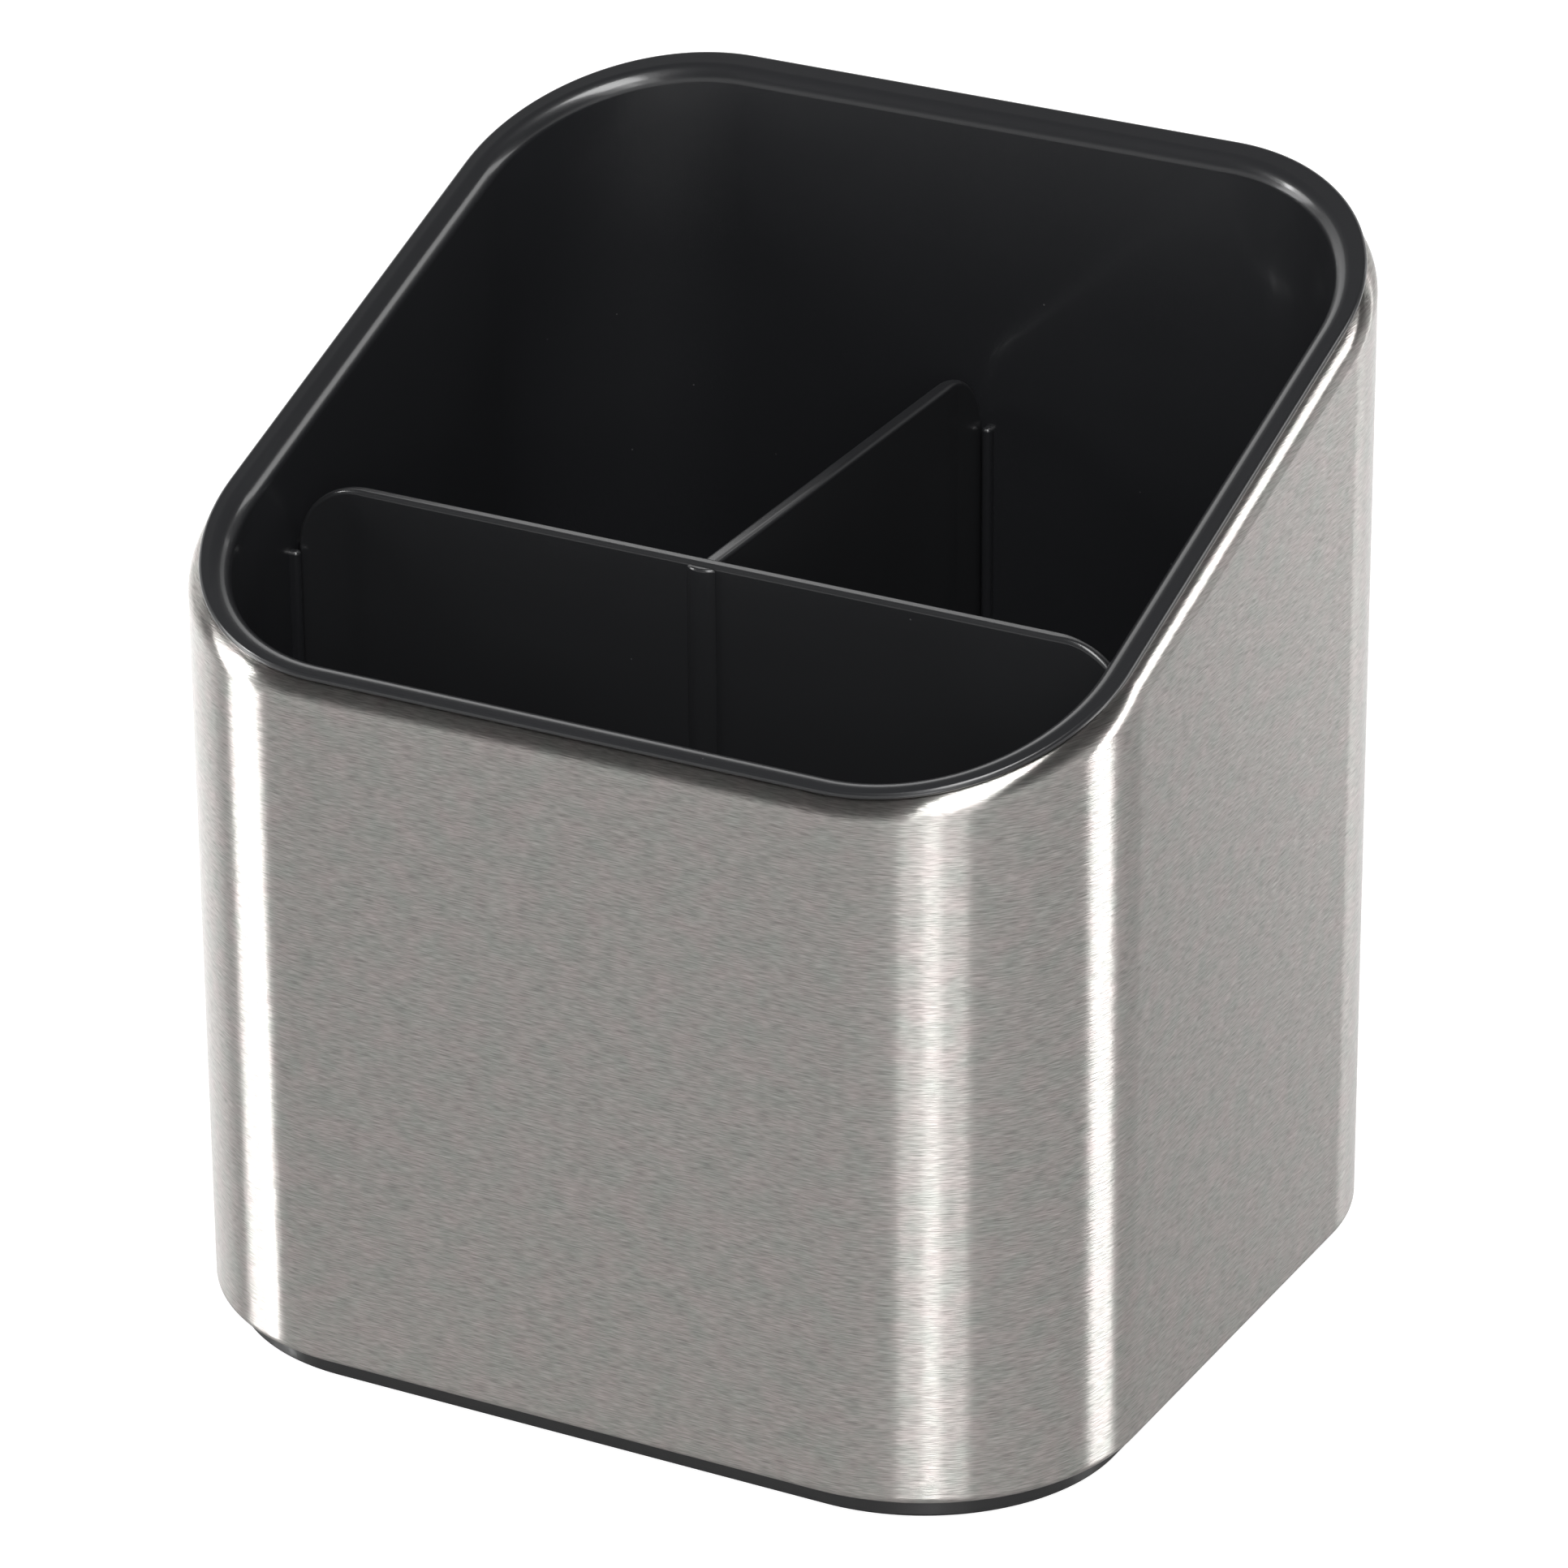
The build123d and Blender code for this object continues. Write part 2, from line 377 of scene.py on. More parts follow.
@dataclass(frozen=True)
class Form:
    """Form that the sleeve, the liner and the tray share: a rounded rectangle under one slope."""

    width: float = 127.0 * MM
    depth: float = 117.0 * MM
    corner_radius: float = 29.0 * MM
    sleeve_low: float = 3.8 * MM
    front_height: float = 92.7 * MM
    slope: float = math.radians(20.2)
    corner_steps: int = 40
    side_steps: int = 12

    @property
    def outline(self) -> Outline:
        """The caddy's outer outline."""
        return Outline.rounded(self.width / 2, self.depth / 2, self.corner_radius,
                               corner_steps=self.corner_steps, side_steps=self.side_steps)

    @property
    def top(self) -> Datum:
        """Sloping plane through the sleeve's upper edge."""
        return Datum(self.slope, -self.depth / 2, self.sleeve_low + self.front_height)


@dataclass
class Sleeve:
    """Steel sheet round the caddy, rolled in over a soft shoulder and turned under at its foot."""

    form: Form
    thickness: float = 0.6 * MM
    shoulder: float = 3.0 * MM
    shoulder_reach: float = 2.8 * MM
    turn_under: float = 1.2 * MM
    turn_under_reach: float = 3.4 * MM

    def lip_rows(self, outline: Outline, radius: float) -> Rows:
        """Rows over the shoulder, then one more at the lip where the sheet runs on flat.

        The drawn-in distance is the shoulder's radius less this radius times the cosine of the
        turn, so the turn that reaches the lip is the arc cosine of what is left over the radius.

        Args:
            outline: The caddy's outline.
            radius: Radius of this face of the sheet.

        Returns:
            Points and normals, each of shape (rows, stations, 3).
        """
        top, gap = self.form.top, self.shoulder - radius
        reach = math.acos((self.shoulder - self.shoulder_reach) / radius)
        points, normals = Bend(top, gap, -gap, OUT, UP, radius, steps=14, reach=reach).rows(outline)
        flat_points, flat_normals = Bend(top, self.shoulder_reach, -gap, UP, UP).rows(outline)
        runs_on = np.sum(normals[-1:] * flat_normals, axis=2, keepdims=True) > 1.0 - WELD
        last = np.where(runs_on, flat_points, points[-1:])
        return np.concatenate([points, last]), np.concatenate([normals, normals[-1:]])

    def build(self) -> bpy.types.Object:
        """Sheet as one closed skin: outer face, inner face, and the two lips between them.

        Returns:
            The sleeve's object.
        """
        skin, outline, ends = Skin(), self.form.outline, []
        for gap, inwards, steps in ((0.0, False, 8), (self.thickness, True, 6)):
            low = self.form.sleeve_low + gap
            foot = [Bend(GROUND, self.turn_under_reach, low, DOWN, DOWN),
                    Bend(GROUND, gap, low, DOWN, OUT, self.turn_under - gap, steps=steps)]
            rows = [bend.rows(outline) for bend in foot]
            rows.append(self.lip_rows(outline, self.shoulder - gap))
            ends.append(skin.strip(outline, rows, inwards))
        outer, inner = ends
        skin.grid(np.stack([outer[1], inner[1]]), -outline.outward)
        skin.grid(np.stack([inner[0], outer[0]]), -outline.outward)
        return skin.build("brushed_sleeve")


@dataclass
class Liner:
    """Moulded pot that hangs by its rim, with guide ribs for the dividers and a slotted floor."""

    form: Form
    rim_inset: float = 1.4 * MM
    rim_thickness: float = 0.9 * MM
    rim_outer_radius: float = 0.5 * MM
    rim_inner_radius: float = 2.4 * MM
    rim_under_radius: float = 0.35 * MM
    wall_inset: float = 3.3 * MM
    wall: float = 2.1 * MM
    low: float = 9.3 * MM
    floor: float = 2.0 * MM
    floor_radius: float = 6.0 * MM
    rib_reach: float = 1.2 * MM
    rib_width: float = 1.4 * MM
    rib_round: float = 0.62 * MM
    rib_top: float = 96.2 * MM
    rib_gap: float = 0.9 * MM
    cross_middle: float = -20.5 * MM
    cross_half: float = 1.0 * MM
    drain_width: float = 3.0 * MM
    drain_length: float = 15.0 * MM
    drain_pitch: float = 9.0 * MM
    drain_row_pitch: float = 27.0 * MM
    drain_margin: float = 14.0 * MM
    drain_edge: float = 0.4 * MM

    @property
    def inner_inset(self) -> float:
        """Distance from the caddy's outline to the liner's inner wall."""
        return self.wall_inset + self.wall

    @property
    def inner_half(self) -> Place:
        """Half the size between the inner walls, along X and along Y."""
        return self.form.width / 2 - self.inner_inset, self.form.depth / 2 - self.inner_inset

    @property
    def floor_top(self) -> float:
        """Height of the floor's upper face."""
        return self.low + self.floor

    def profile(self) -> list[Bend]:
        """Profile of the pot.

        Returns:
            Its bends from under the floor, up the outside, over the rim and down the inside.
        """
        top, inner, rim = self.form.top, self.inner_inset, self.rim_thickness
        under = self.floor_radius + self.wall
        return [
            Bend(GROUND, self.wall_inset, self.low, DOWN, OUT, under, steps=12),
            Bend(top, self.wall_inset, 0.0, OUT, OUT),
            Bend(top, self.wall_inset, 0.0, DOWN, DOWN),
            Bend(top, self.rim_inset, 0.0, DOWN, OUT, self.rim_under_radius, steps=3),
            Bend(top, self.rim_inset, rim, OUT, UP, self.rim_outer_radius, steps=8),
            Bend(top, inner, rim, UP, INTO, self.rim_inner_radius, steps=16),
            Bend(GROUND, inner, self.floor_top, INTO, UP, self.floor_radius, hollow=True, steps=12),
        ]

    def evenly(self, span: float, pitch: float) -> np.ndarray:
        """Places at one pitch, centred on zero, as many as the span holds."""
        count = int(span / pitch) + 1
        return (np.arange(count) - (count - 1) / 2) * pitch

    def drains(self) -> list[Outline]:
        """Slots of the floor: one row in front of the cross wall, two columns of rows behind it.

        Returns:
            One outline for each slot.
        """
        half_x, half_y = self.inner_half
        front, back = self.cross_middle - self.cross_half, self.cross_middle + self.cross_half
        margins = 2 * self.drain_margin
        places = [(x, (front - half_y) / 2)
                  for x in self.evenly(2 * half_x - margins, self.drain_pitch)]
        places += [(side * half_x / 2 + dx, (back + half_y) / 2 + dy) for side in (-1, 1)
                   for dx in self.evenly(half_x - margins, self.drain_pitch)
                   for dy in self.evenly(half_y - back - margins, self.drain_row_pitch)]
        radius = self.drain_width / 2
        return [Outline.rounded(radius, self.drain_length / 2, radius, place, corner_steps=6)
                for place in places]

    def add_floor(self, skin: Skin) -> None:
        """Adds the floor's two faces and its slots, whose upper edges are softened.

        Args:
            skin: Skin that takes the patches.
        """
        drains, edge = self.drains(), self.drain_edge
        rim = self.form.outline.ring(self.inner_inset + self.floor_radius)[:-1]
        skin.plain([rim] + [drain.ring(-edge)[:-1] for drain in drains], self.floor_top, 1.0)
        skin.plain([rim] + [drain.ring(0.0)[:-1] for drain in drains], self.low, -1.0)
        for drain in drains:
            points, normals = Bend(GROUND, 0.0, self.floor_top, UP, INTO, edge, steps=4).rows(drain)
            points = np.concatenate([points, level(drain.ring(0.0), self.low)[None]])
            skin.grid(points, np.concatenate([normals, -drain.outward[None]]))

    def add_ribs(self, skin: Skin) -> None:
        """Adds the rib pairs beside the cross wall's ends and the rear partition's rear edge.

        Args:
            skin: Skin that takes the patches.
        """
        half_x, half_y = self.inner_half
        reach, half, soft = self.rib_reach, self.rib_width / 2, self.rib_round - CAP_LAND
        beside, foot = self.rib_gap + half, self.floor_top - self.floor / 2
        ribs = []
        for step in (-beside, beside):
            ribs += [(reach, half, (side * half_x, self.cross_middle + step)) for side in (-1, 1)]
            ribs.append((half, reach, (step, half_y)))
        for across, deep, place in ribs:
            outline = Outline.rounded(across, deep, self.rib_round, place, corner_steps=6)
            skin.sweep(outline, [Bend(GROUND, 0.0, foot, OUT, OUT),
                                 Bend(GROUND, 0.0, self.rib_top, OUT, UP, soft, steps=6)])
            skin.cap(outline, soft, self.rib_top, 1.0)
            skin.cap(outline, 0.0, foot, -1.0)

    def build(self) -> bpy.types.Object:
        """Pot, floor and ribs as one mesh.

        Returns:
            The liner's object.
        """
        skin = Skin()
        skin.sweep(self.form.outline, self.profile())
        self.add_floor(skin)
        self.add_ribs(skin)
        return skin.build("hanging_liner")


@dataclass
class Plate:
    """Upright moulded plate with softened edges, thinner by a step in the bands at its ends.

    Lengths run along the plate, heights up, and thickness across. The plate's two rows of stations,
    one along its foot and one along its top, have equal lengths along, so that its faces are strips
    between them. The axes are unit vectors along, up and across it, as rows.
    """

    axes: np.ndarray
    origin: np.ndarray
    start: float
    end: float
    low: float
    high: float
    half: float
    edge: float
    top_radius: float
    low_radius: float
    band: float
    step: float
    round_start: bool
    step_run: float = 4.0 * MM
    step_stations: int = 7
    arc_steps: int = 20
    edge_steps: int = 7

    def placed(self, points: np.ndarray) -> np.ndarray:
        """Points of the plate in the caddy's frame."""
        return points @ self.axes + self.origin

    def stations(self, extra: tuple[float, ...]) -> np.ndarray:
        """Lengths along the plate where its shape bends.

        Args:
            extra: More lengths that are wanted.

        Returns:
            The lengths in order.
        """
        turn = np.sin(np.linspace(0.0, math.pi / 2, self.arc_steps + 1))
        tip = self.end - self.edge
        reaches = [tip - (radius - self.edge) * (1.0 - turn)
                   for radius in (self.top_radius, self.low_radius)]
        step = self.end - self.band + np.linspace(-0.5, 0.5, self.step_stations) * self.step_run
        half = np.concatenate(reaches + [step])
        start = self.start + self.end - half if self.round_start else [self.start]
        places = np.sort(np.concatenate([half, start, extra]))
        return places[np.append(True, np.diff(places) > 2 * WELD)]

    def half_thickness(self, along: np.ndarray) -> Rows:
        """Half thickness and its slope: whole in the middle, less by the step past a smooth ramp.

        The ramp is three times the share squared less two times the share cubed.

        Args:
            along: Lengths along the plate.

        Returns:
            Half thickness at each length, and how fast it changes.
        """
        drop, slope = np.zeros_like(along), np.zeros_like(along)
        ramps = [(along - (self.end - self.band), 1.0)]
        if self.round_start:
            ramps.append((self.start + self.band - along, -1.0))
        for past, sign in ramps:
            share = np.clip(past / self.step_run + 0.5, 0.0, 1.0)
            drop += 3 * share**2 - 2 * share**3
            slope += sign * 6 * share * (1 - share) / self.step_run
        return self.half - self.step * drop, -self.step * slope

    def rim(self, along: np.ndarray, radius: float, side: float) -> Rows:
        """Inner ring of the softened edge along the top (side 1) or the foot (side -1).

        Past the centre of an end's arc, the sine of the turn is the length past the centre over the
        radius that is left inside the edge, and the height falls with its cosine.

        Args:
            along: Lengths along the plate.
            radius: Radius of the plate's corners on this side.
            side: 1 for the top, -1 for the foot.

        Returns:
            Ring points and outward normals as (length, height) pairs.
        """
        inner = radius - self.edge
        past = np.clip(along - (self.end - radius), 0.0, inner)
        if self.round_start:
            past = past - np.clip(self.start + radius - along, 0.0, inner)
        sine = past / inner
        cosine = np.sqrt(np.clip(1.0 - sine**2, 0.0, 1.0))
        height = (self.high if side > 0 else self.low) - side * (radius - inner * cosine)
        return np.column_stack([along, height]), np.column_stack([sine, side * cosine])

    def build(self, skin: Skin, middle: float, slot: Place | None = None) -> np.ndarray:
        """Adds the plate to a skin.

        Args:
            skin: Skin that takes the patches.
            middle: Height of a row of points across both faces.
            slot: Lengths along between which the plate is open from its foot up to the middle row.

        Returns:
            Section at the plate's start: the foot's rows, then the top's, each from back to front.
        """
        along = self.stations(slot or ())
        half, slope = self.half_thickness(along)
        foot, foot_normal = self.rim(along, self.low_radius, -1.0)
        top, top_normal = self.rim(along, self.top_radius, 1.0)
        ring, ring_normal, ring_half = (np.concatenate([low, high[::-1]]) for low, high in
                                        ((foot, top), (foot_normal, top_normal), (half, half)))
        if self.round_start:
            ring, ring_normal, ring_half = (np.concatenate([part, part[:1]])
                                            for part in (ring, ring_normal, ring_half))
        turn = np.linspace(0.0, math.pi / 2, self.edge_steps + 1)
        turn = np.concatenate([-turn[::-1], turn])[:, None, None]
        sign = np.repeat([-1.0, 1.0], self.edge_steps + 1)[:, None, None]
        flat = ring + self.edge * np.cos(turn) * ring_normal
        deep = sign * (ring_half[:, None] - self.edge) + self.edge * np.sin(turn)
        points = np.concatenate([flat, deep], axis=2)
        normals = [np.cos(turn) * ring_normal, np.sin(turn) * np.ones_like(deep)]
        normals = np.concatenate(normals, axis=2)
        count = len(along)
        open_at = () if slot is None else (int(np.searchsorted(along, slot[0] - WELD)),)
        skin.grid(self.placed(points), normals @ self.axes, skip=open_at)
        lean = np.column_stack([-slope, np.zeros(count), np.ones(count)])
        lean /= np.linalg.norm(lean, axis=1, keepdims=True)
        for side in (1.0, -1.0):
            face = np.insert(np.stack([foot, level(along, middle), top]), 2, side * half, axis=2)
            normal = np.broadcast_to(lean * [1.0, 1.0, side], face.shape)
            if side < 0:
                face, normal = face[:, ::-1], normal[:, ::-1]
            lower_skip = tuple(k if side > 0 else count - 2 - k for k in open_at)
            skin.grid(self.placed(face[:2]), normal[:2] @ self.axes, skip=lower_skip)
            skin.grid(self.placed(face[1:]), normal[1:] @ self.axes)
        if slot is not None:
            self._line_slot(skin, points, open_at[0], middle)
        if self.round_start:
            return self.placed(points[:, 0])
        return self.placed(np.concatenate([points[:, 0], points[::-1, -1]]))

    def _line_slot(self, skin: Skin, points: np.ndarray, column: int, middle: float) -> None:
        """Adds the two sides and the ceiling of a slot.

        Args:
            skin: Skin that takes the patches.
            points: Rows of the plate's edge, by station.
            column: Station at the slot's first side.
            middle: Height of the ceiling.
        """
        ends = []
        for k, facing in ((column, 1.0), (column + 1, -1.0)):
            section = points[:, k]
            upper = section[[-1, 0]].copy()
            upper[:, 1] = middle
            skin.polygon(self.placed(np.concatenate([section, upper])), facing * self.axes[0])
            ends.append(upper[::-1])
        skin.polygon(self.placed(np.concatenate([ends[0], ends[1][::-1]])), -self.axes[1])


@dataclass
class Dividers:
    """Cross wall and rear partition, whose tongue fills the wall's slot and ends in a bead."""

    liner: Liner
    plate: float = 2.0 * MM
    plate_edge: float = 0.65 * MM
    plate_gap: float = 0.3 * MM
    height: float = 94.4 * MM
    corner: float = 9.5 * MM
    band: float = 8.5 * MM
    band_step: float = 0.25 * MM
    slide_gap: float = 0.15 * MM
    bridge: float = 12.0 * MM
    partition_drop: float = 0.4 * MM
    tongue_stations: int = 17
    bead_width: float = 3.9 * MM
    bead_proud: float = 0.8 * MM
    bead_edge: float = 0.4 * MM
    bead_steps: int = 24
    bead_edge_stations: int = 9

    def __post_init__(self) -> None:
        """Works out the heights and lengths that both plates share."""
        half_x, half_y = self.liner.inner_half
        self.low = self.liner.floor_top
        self.top = self.low + self.height
        self.slot_top = self.top - self.bridge
        self.cross_half = half_x - self.plate_gap
        self.rear = half_y - self.plate_gap
        self.cross_back = self.liner.cross_middle + self.plate / 2
        self.bead_back = self.liner.cross_middle - self.plate / 2 - self.slide_gap

    def shape(self, axes: list[list[float]], origin: Vector, start: float, end: float, high: float,
              round_start: bool) -> Plate:
        """Plate with the dividers' common thickness, corners and bands.

        Args:
            axes: Unit vectors along, up and across it.
            origin: Point that its lengths are measured from.
            start: Length where it starts.
            end: Length where it ends.
            high: Height of its top.
            round_start: Whether its start is as round as its end.

        Returns:
            The plate.
        """
        return Plate(np.array(axes), np.array(origin), start, end, self.low, high, self.plate / 2,
                     self.plate_edge, self.corner, self.liner.floor_radius, self.band,
                     self.band_step, round_start)

    def cross_wall(self) -> bpy.types.Object:
        """Wall from left to right, with a slot from below.

        Returns:
            The cross wall's object.
        """
        skin, half = Skin(), self.plate / 2 + self.slide_gap
        plate = self.shape([[1.0, 0.0, 0.0], [0.0, 0.0, 1.0], [0.0, -1.0, 0.0]],
                           (0.0, self.liner.cross_middle, 0.0), -self.cross_half, self.cross_half,
                           self.top, True)
        plate.build(skin, self.slot_top, slot=(-half, half))
        return skin.build("moulded_cross_wall")

    def add_tongue(self, skin: Skin, front: float, back: float, top: float) -> None:
        """Adds the neck that fills the slot, between two lengths from front to back.

        Args:
            skin: Skin that takes the patches.
            front: Where the neck starts, inside the bead.
            back: Where it meets the partition's plate.
            top: Height of its level top.
        """
        half, edge = self.plate / 2, self.plate_edge
        turn = np.linspace(-math.pi / 2, math.pi / 2, self.tongue_stations)
        side = np.where(turn > 0, 1.0, -1.0) * (half - edge)
        low = self.low + edge - edge * np.cos(turn)
        section = np.vstack([[-half, top], np.column_stack([side + edge * np.sin(turn), low]),
                             [half, top]])
        facing = np.vstack([[-1.0, 0.0], np.column_stack([np.sin(turn), -np.cos(turn)]),
                            [1.0, 0.0]])
        back_end, front_end = (np.insert(section, 1, y, axis=1) for y in (back, front))
        skin.grid(np.stack([back_end, front_end]), np.insert(facing, 1, 0.0, axis=1))
        skin.polygon(front_end, (0.0, -1.0, 0.0))
        skin.polygon(np.concatenate([back_end[[0, -1]], front_end[[-1, 0]]]), (0.0, 0.0, 1.0))

    def add_bead(self, skin: Skin, high: float) -> None:
        """Adds the strip with an arched front that heads the tongue.

        Its front is an arc about an upright line. At the top the arc is drawn in along a quarter
        of a circle, and each row's ends stay in the plane of the strip's back.

        Args:
            skin: Skin that takes the patches.
            high: Height of the strip's top.
        """
        proud, edge = self.bead_proud, self.bead_edge
        radius = (self.bead_width**2 / 4 + proud**2) / (2 * proud)
        turn = np.append(0.0, np.linspace(0.0, math.pi / 2, self.bead_edge_stations))
        drawn = edge * (1.0 - np.cos(turn))
        height = np.append(self.low, high - edge + edge * np.sin(turn[1:]))
        end = np.arccos((radius - proud) / (radius - drawn))
        angle = end[:, None] * np.linspace(-1.0, 1.0, self.bead_steps + 1)
        reach, soft = (radius - drawn)[:, None], np.cos(turn)[:, None]
        middle = self.bead_back + radius - proud
        points = np.stack([reach * np.sin(angle), middle - reach * np.cos(angle),
                           np.broadcast_to(height[:, None], angle.shape)], axis=2)
        normals = np.stack([soft * np.sin(angle), -soft * np.cos(angle),
                            np.broadcast_to(np.sin(turn)[:, None], angle.shape)], axis=2)
        skin.grid(points, normals)
        skin.polygon(points[-1], (0.0, 0.0, 1.0))
        skin.polygon(points[0], (0.0, 0.0, -1.0))
        back = [points[1:, 0], points[:0:-1, -1], points[:1, -1], points[:1, 0]]
        skin.polygon(np.concatenate(back), (0.0, 1.0, 0.0))

    def rear_partition(self) -> bpy.types.Object:
        """Plate from the cross wall to the back wall, with its tongue and bead.

        Returns:
            The rear partition's object.
        """
        skin = Skin()
        high, notch = self.top - self.partition_drop, self.slot_top - self.plate_gap
        start = self.cross_back + self.slide_gap
        plate = self.shape([[0.0, 1.0, 0.0], [0.0, 0.0, 1.0], [1.0, 0.0, 0.0]], (0.0, 0.0, 0.0),
                           start, self.rear, high, False)
        section = plate.build(skin, notch)
        upper = section[len(section) // 2:]
        shoulder = upper[[-1, 0]].copy()
        shoulder[:, 2] = notch
        skin.polygon(np.concatenate([upper, shoulder]), (0.0, -1.0, 0.0))
        self.add_tongue(skin, self.bead_back - self.bead_proud / 2, start, notch)
        self.add_bead(skin, high)
        return skin.build("moulded_rear_partition")


@dataclass
class DripTray:
    """Plastic base: plinth, neck and collar round a basin, recessed underneath for the feet."""

    form: Form
    stand: float = 0.8 * MM
    plinth_inset: float = 2.7 * MM
    plinth_wall: float = 2.2 * MM
    plinth_edge: float = 0.4 * MM
    panel_low: float = 2.0 * MM
    basin_floor: float = 3.6 * MM
    neck_inset: float = 3.7 * MM
    neck_top: float = 4.5 * MM
    collar_inset: float = 0.75 * MM
    collar_edge: float = 0.8 * MM
    collar_top: float = 13.5 * MM
    wall: float = 1.8 * MM
    soft: float = 0.3 * MM
    foot_setback: float = 24.0 * MM
    foot_radius: float = 6.0 * MM
    foot_gap: float = 0.2 * MM
    foot_edge: float = 0.4 * MM
    boss_wall: float = 1.4 * MM
    stiffener_width: float = 1.4 * MM
    stiffener_height: float = 0.8 * MM

    def profile(self) -> list[Bend]:
        """Profile of the base.

        Returns:
            Its bends from the recess, round the plinth and collar, to the basin's floor.
        """
        recess, shelf = self.plinth_inset + self.plinth_wall, self.neck_top + self.wall
        basin, inner = self.neck_inset + self.wall, self.collar_inset + self.wall
        soft, ledge = self.soft, self.form.sleeve_low
        return [
            Bend(GROUND, recess, self.panel_low, INTO, INTO),
            Bend(GROUND, recess, self.stand, INTO, DOWN, soft, steps=4),
            Bend(GROUND, self.plinth_inset, self.stand, DOWN, OUT, self.plinth_edge, steps=5),
            Bend(GROUND, self.plinth_inset, ledge, OUT, UP, soft / 2, steps=3),
            Bend(GROUND, self.neck_inset, ledge, UP, OUT),
            Bend(GROUND, self.neck_inset, self.neck_top, OUT, DOWN),
            Bend(GROUND, self.collar_inset, self.neck_top, DOWN, OUT, self.collar_edge, steps=6),
            Bend(GROUND, self.collar_inset, self.collar_top, OUT, UP, soft, steps=4),
            Bend(GROUND, inner, self.collar_top, UP, INTO, soft, steps=4),
            Bend(GROUND, inner, shelf, INTO, UP, 2 * soft, hollow=True, steps=4),
            Bend(GROUND, basin, shelf, UP, INTO, 2 * soft, steps=4),
            Bend(GROUND, basin, self.basin_floor, INTO, UP, 3 * soft, hollow=True, steps=6),
        ]

    @property
    def foot_offset(self) -> Place:
        """Distance of the feet from the middle, along X and along Y."""
        return self.form.width / 2 - self.foot_setback, self.form.depth / 2 - self.foot_setback

    @property
    def foot_places(self) -> dict[str, Place]:
        """Centre of each foot, by the name of its CAD node."""
        x, y = self.foot_offset
        return {"foot_front_left": (-x, -y), "foot_front_right": (x, -y),
                "foot_rear_left": (-x, y), "foot_rear_right": (x, y)}

    def add_bosses(self, skin: Skin) -> None:
        """Adds the sockets that hold the feet, and the stiffening ribs between them.

        Args:
            skin: Skin that takes the patches.
        """
        outer, edge = self.foot_radius + self.foot_gap + self.boss_wall, self.soft / 2
        for place in self.foot_places.values():
            ring = Outline.rounded(outer, outer, outer, place)
            skin.sweep(ring, [Bend(GROUND, self.boss_wall, self.panel_low, INTO, INTO),
                              Bend(GROUND, self.boss_wall, self.stand, INTO, DOWN, edge, steps=3),
                              Bend(GROUND, 0.0, self.stand, DOWN, OUT, edge, steps=3),
                              Bend(GROUND, 0.0, self.panel_low, OUT, OUT)])
        x, y = self.foot_offset
        half, low = self.stiffener_width / 2, self.panel_low - self.stiffener_height
        soft = self.soft - CAP_LAND
        for across, deep, place in ((x - outer, half, (0.0, y)), (x - outer, half, (0.0, -y)),
                                    (half, y - outer, (x, 0.0)), (half, y - outer, (-x, 0.0))):
            bar = Outline.rounded(across, deep, self.soft, place, corner_steps=4)
            skin.sweep(bar, [Bend(GROUND, 0.0, low, DOWN, OUT, soft, steps=4),
                             Bend(GROUND, 0.0, self.panel_low, OUT, OUT)])
            skin.cap(bar, soft, low, -1.0)

    def build(self) -> bpy.types.Object:
        """Tray as one mesh.

        Returns:
            The tray's object.
        """
        skin, outline = Skin(), self.form.outline
        skin.sweep(outline, self.profile())
        skin.cap(outline, self.plinth_inset + self.plinth_wall, self.panel_low, -1.0)
        skin.cap(outline, self.neck_inset + self.wall + 3 * self.soft, self.basin_floor, 1.0)
        self.add_bosses(skin)
        return skin.build("drip_tray")

    def foot(self, node: str) -> bpy.types.Object:
        """Rubber pad of one foot.

        Args:
            node: Name of its CAD node.

        Returns:
            The pad's object.
        """
        skin, soft, radius = Skin(), self.foot_edge / 2, self.foot_radius
        disc = Outline.rounded(radius, radius, radius, self.foot_places[node], corner_steps=14)
        skin.sweep(disc, [Bend(GROUND, 0.0, 0.0, DOWN, OUT, self.foot_edge, steps=6),
                          Bend(GROUND, 0.0, self.panel_low, OUT, UP, soft, steps=3)])
        skin.cap(disc, self.foot_edge, 0.0, -1.0)
        skin.cap(disc, soft, self.panel_low, 1.0)
        return skin.build("rubber_" + node)


